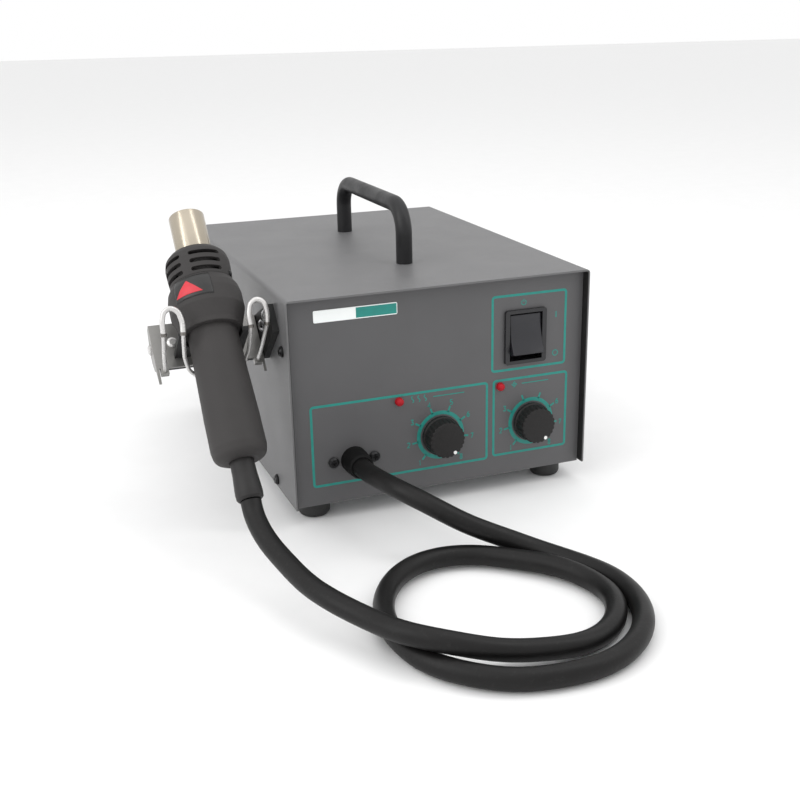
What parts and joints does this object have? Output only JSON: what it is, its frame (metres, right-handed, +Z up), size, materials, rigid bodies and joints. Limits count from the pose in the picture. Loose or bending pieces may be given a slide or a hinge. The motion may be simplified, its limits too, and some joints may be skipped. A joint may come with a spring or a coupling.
{
  "type": "hot air station",
  "caption": "Bench hot air rework station: sheet metal cabinet with heat and air knobs, a rocker switch and a hot air gun in a side cradle on a flexible air hose.",
  "frame": {"origin": "on the floor under the middle of the station's box without its hose", "axes": "+Z up, -Y out of the front panel towards the user, +X to the user's right; the gun's cradle is on the -X wall"},
  "size_m": [0.2556, 0.4525, 0.1769],
  "materials": {
    "cover_paint": "fine textured powder coat",
    "tray_steel": "zinc plated sheet",
    "panel_paint": "smooth satin paint with printed lines",
    "black_screw": "blackened steel",
    "bright_screw": "zinc plated",
    "foot_rubber": "matte",
    "handle_rubber": "satin",
    "badge_print": "gloss label",
    "switch_plastic": "satin",
    "rocker_plastic": "satin",
    "terminal_brass": "tinned",
    "knob_plastic": "satin",
    "dot_white": "paint",
    "shaft_steel": "turned",
    "pot_can": "stamped",
    "led_red": "translucent",
    "gland_rubber": "satin",
    "hose_rubber": "satin",
    "barrel_steel": "brushed around its axis",
    "mica": "matte",
    "ceramic": "matte",
    "silicone": "matte",
    "gun_plastic": "matte, heat resistant",
    "boot_rubber": "satin",
    "patch_film": "gloss label",
    "bracket_paint": "satin black",
    "cradle_plate": "nickel plated sheet",
    "wire_nickel": "bright nickel",
    "inlet_plastic": "satin",
    "pump_metal": "painted",
    "core_steel": "varnished laminations",
    "copper_coil": "enamelled wire",
    "arm_metal": "cast",
    "tube_silicone": "translucent",
    "board_green": "solder resist",
    "parts_blue": "moulded",
    "sink_alu": "extruded"
  },
  "bodies": {
    "station": {"cover": "cover_paint", "chassis_tray": "tray_steel", "front_panel": "panel_paint", "rear_panel": "panel_paint", "panel_screws": "black_screw", "cover_screws": "black_screw", "feet": "foot_rubber", "foot_screws": "bright_screw", "carry_handle": "handle_rubber", "handle_screws": "bright_screw", "front_badge": "badge_print", "switch_body": "switch_plastic", "switch_terminals": "terminal_brass", "heat_pot": "pot_can", "air_pot": "pot_can", "pot_nuts": "bright_screw", "heat_led": "led_red", "air_led": "led_red", "outlet_gland": "gland_rubber", "outlet_clamp": "bright_screw", "outlet_screws": "black_screw", "air_hose": "hose_rubber", "holder_bracket": "bracket_paint", "holder_cradle": "cradle_plate", "holder_seat": "bracket_paint", "cradle_wire": "wire_nickel", "holder_rivets": "wire_nickel", "holder_screws": "bright_screw", "mains_inlet": "inlet_plastic", "inlet_pins": "terminal_brass", "inlet_screws": "bright_screw", "pump_base": "pump_metal", "pump_mounts": "foot_rubber", "pump_core": "core_steel", "pump_coil": "copper_coil", "pump_head": "inlet_plastic", "air_tube": "tube_silicone", "control_board": "board_green", "board_parts": "parts_blue", "transformer": "core_steel", "heat_sink": "sink_alu"},
    "gun": {"gun_barrel": "barrel_steel", "mica_sleeve": "mica", "heater_core": "ceramic", "air_coupling": "silicone", "gun_nose": "gun_plastic", "gun_body": "gun_plastic", "gun_grip": "gun_plastic", "hose_boot": "boot_rubber", "gun_patch": "patch_film", "gun_screws": "black_screw"},
    "power_rocker": {"switch_rocker": "rocker_plastic"},
    "heat_control": {"heat_knob": "knob_plastic", "heat_knob_dot": "dot_white", "heat_shaft": "shaft_steel"},
    "air_control": {"air_knob": "knob_plastic", "air_knob_dot": "dot_white", "air_shaft": "shaft_steel"},
    "fuse_tray": {"fuse_drawer": "inlet_plastic"},
    "pump_swing_arm": {"pump_arm": "arm_metal"}
  },
  "joints": [
    {"name": "gun_lift", "type": "slide", "parent": "station", "child": "gun", "axis": [0, 0.6561, 0.7547], "range_m": [0, 0.06]},
    {"name": "rocker_tilt", "type": "hinge", "parent": "station", "child": "power_rocker", "pos_m": [0.0858, -0.0919, 0.0975], "axis": [1, 0, 0], "range_deg": [0, 28]},
    {"name": "heat_turn", "type": "hinge", "parent": "station", "child": "heat_control", "pos_m": [0.0308, -0.09589, 0.043], "axis": [0, -1, 0], "range_deg": [0, 300]},
    {"name": "air_turn", "type": "hinge", "parent": "station", "child": "air_control", "pos_m": [0.0908, -0.09589, 0.043], "axis": [0, -1, 0], "range_deg": [0, 300]},
    {"name": "fuse_drawer_slide", "type": "slide", "parent": "station", "child": "fuse_tray", "axis": [0, 1, 0], "range_m": [0, 0.016]},
    {"name": "pump_arm_swing", "type": "hinge", "parent": "station", "child": "pump_swing_arm", "pos_m": [-0.0417, 0.0501, 0.04], "axis": [0, 0, 1], "range_deg": [-1.2, 1.2], "stiffness_Nm_per_rad": 0.8}
  ]
}
